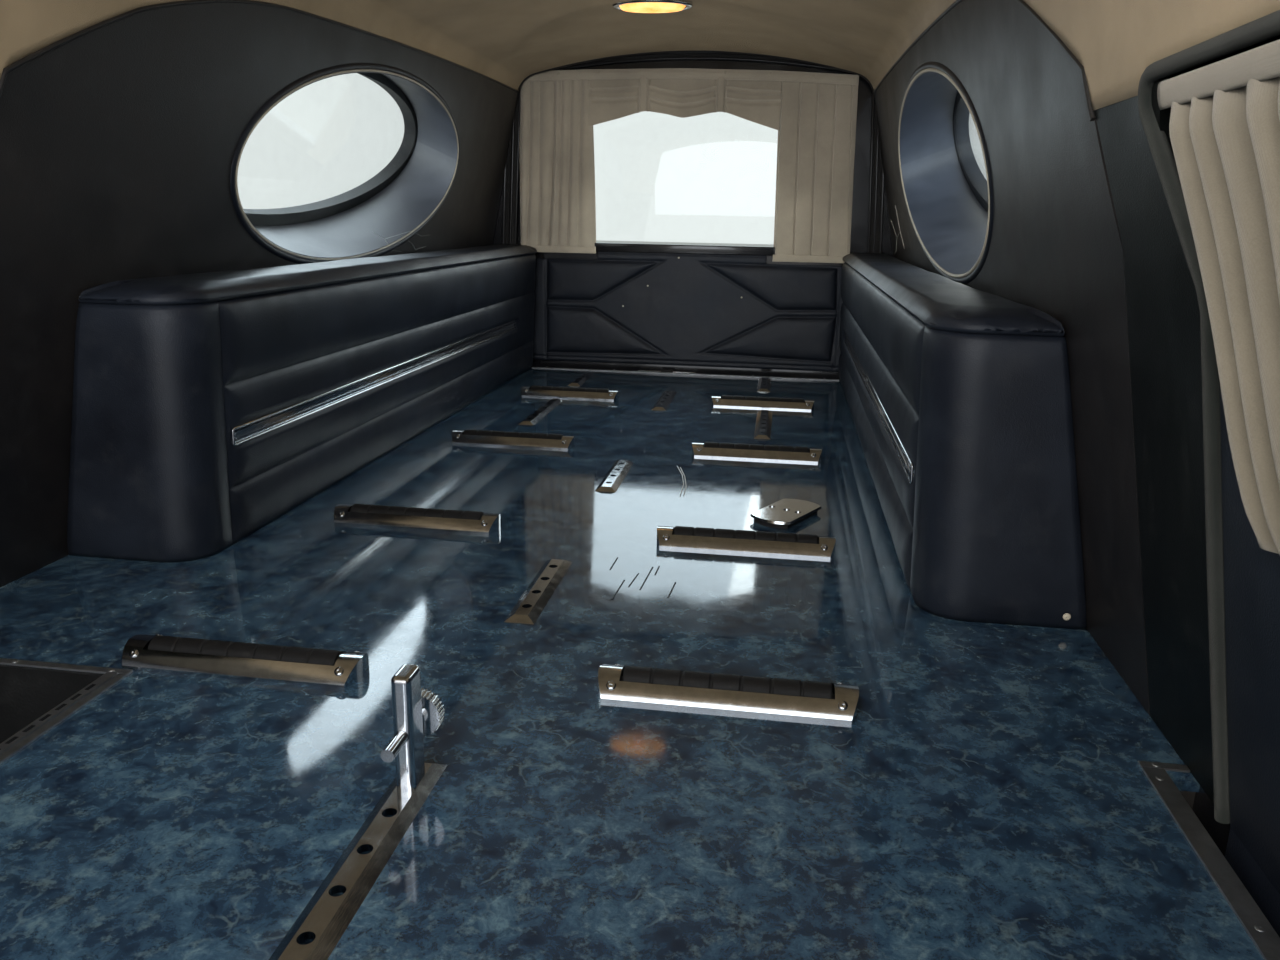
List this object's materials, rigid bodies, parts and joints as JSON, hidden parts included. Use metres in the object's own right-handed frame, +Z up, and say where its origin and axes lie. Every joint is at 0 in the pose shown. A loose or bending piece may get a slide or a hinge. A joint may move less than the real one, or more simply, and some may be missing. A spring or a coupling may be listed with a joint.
{
  "type": "hearse casket compartment",
  "caption": "Rear body section of a hearse: marbled casket deck with rollers, pin plates and padded wheel boxes, oval side windows, curtained doors and a draped rear door.",
  "frame": {"origin": "midway along the section, on its centre line, under the chassis rails", "axes": "+X to the vehicle's left, +Y to its rear, +Z up"},
  "size_m": [1.952, 3.532, 1.4248],
  "materials": {
    "body_paint": "gloss",
    "frame_paint": "satin",
    "underseal": "matte",
    "laminate": "gloss, dark marbled",
    "vinyl": "satin grained vinyl",
    "headlining": "woven cloth",
    "drape": "pleated cloth",
    "chrome": "polished",
    "edging": "satin",
    "black_rubber": "matte",
    "window_glass": "clear",
    "lens": "amber, ribbed"
  },
  "bodies": {
    "compartment": {"chassis_rails": "frame_paint", "cross_bearers": "frame_paint", "deck_panel": "laminate", "deck_edgings": "edging", "step_well": "frame_paint", "wheel_boxes": "vinyl", "wheel_box_lids": "vinyl", "box_strips": "chrome", "wheel_housings": "underseal", "side_wall_left": "body_paint", "side_wall_right": "body_paint", "quarter_boards": "vinyl", "pillar_trims": "vinyl", "oval_sleeves": "vinyl", "oval_glass": "window_glass", "oval_surrounds": "black_rubber", "roof_shell": "body_paint", "headliner": "headlining", "lamp_bezel": "chrome", "lamp_lens": "lens", "rear_frame": "body_paint", "door_seal": "black_rubber", "hinge_pins": "body_paint", "roller_bezels": "chrome", "pin_plates": "chrome", "bier_pin": "chrome", "bier_pin_knob": "chrome", "pin_stop": "chrome", "pin_stop_pad": "black_rubber"},
    "rear_door": {"rear_door": "body_paint", "rear_door_panel": "vinyl", "rear_door_glass": "window_glass", "rear_drapes": "drape", "rear_valance": "drape", "rear_door_handle": "chrome"},
    "side_door_left": {"side_door_left": "body_paint", "side_door_trim_left": "vinyl", "side_door_glass_left": "window_glass", "side_curtain_left": "drape"},
    "side_door_right": {"side_door_right": "body_paint", "side_door_trim_right": "vinyl", "side_door_glass_right": "window_glass", "side_curtain_right": "drape"},
    "roller_left_1": {"roller_left_1": "black_rubber"},
    "roller_left_2": {"roller_left_2": "black_rubber"},
    "roller_left_3": {"roller_left_3": "black_rubber"},
    "roller_left_4": {"roller_left_4": "black_rubber"},
    "roller_right_1": {"roller_right_1": "black_rubber"},
    "roller_right_2": {"roller_right_2": "black_rubber"},
    "roller_right_3": {"roller_right_3": "black_rubber"},
    "roller_right_4": {"roller_right_4": "black_rubber"}
  },
  "joints": [
    {"name": "rear_door_hinge", "type": "hinge", "parent": "compartment", "child": "rear_door", "pos_m": [0.615, 1.762, 0], "axis": [0, 0, -1], "range_deg": [0, 100]},
    {"name": "side_door_left_hinge", "type": "hinge", "parent": "compartment", "child": "side_door_left", "pos_m": [0.965, -1.655, 0], "axis": [0, 0, -1], "range_deg": [0, 65]},
    {"name": "side_door_right_hinge", "type": "hinge", "parent": "compartment", "child": "side_door_right", "pos_m": [-0.965, -1.655, 0], "axis": [0, 0, 1], "range_deg": [0, 65]},
    {"name": "roller_left_1_spin", "type": "hinge", "parent": "compartment", "child": "roller_left_1", "pos_m": [0.272, -0.6031, 0.371], "axis": [1, 0, 0], "continuous": true},
    {"name": "roller_left_2_spin", "type": "hinge", "parent": "compartment", "child": "roller_left_2", "pos_m": [0.272, -0.10314, 0.371], "axis": [1, 0, 0], "continuous": true},
    {"name": "roller_left_3_spin", "type": "hinge", "parent": "compartment", "child": "roller_left_3", "pos_m": [0.272, 0.49595, 0.371], "axis": [1, 0, 0], "continuous": true},
    {"name": "roller_left_4_spin", "type": "hinge", "parent": "compartment", "child": "roller_left_4", "pos_m": [0.272, 1.07349, 0.371], "axis": [1, 0, 0], "continuous": true},
    {"name": "roller_right_1_spin", "type": "hinge", "parent": "compartment", "child": "roller_right_1", "pos_m": [-0.272, -0.62465, 0.371], "axis": [1, 0, 0], "continuous": true},
    {"name": "roller_right_2_spin", "type": "hinge", "parent": "compartment", "child": "roller_right_2", "pos_m": [-0.272, -0.09237, 0.371], "axis": [1, 0, 0], "continuous": true},
    {"name": "roller_right_3_spin", "type": "hinge", "parent": "compartment", "child": "roller_right_3", "pos_m": [-0.272, 0.4981, 0.371], "axis": [1, 0, 0], "continuous": true},
    {"name": "roller_right_4_spin", "type": "hinge", "parent": "compartment", "child": "roller_right_4", "pos_m": [-0.272, 1.09073, 0.371], "axis": [1, 0, 0], "continuous": true}
  ]
}
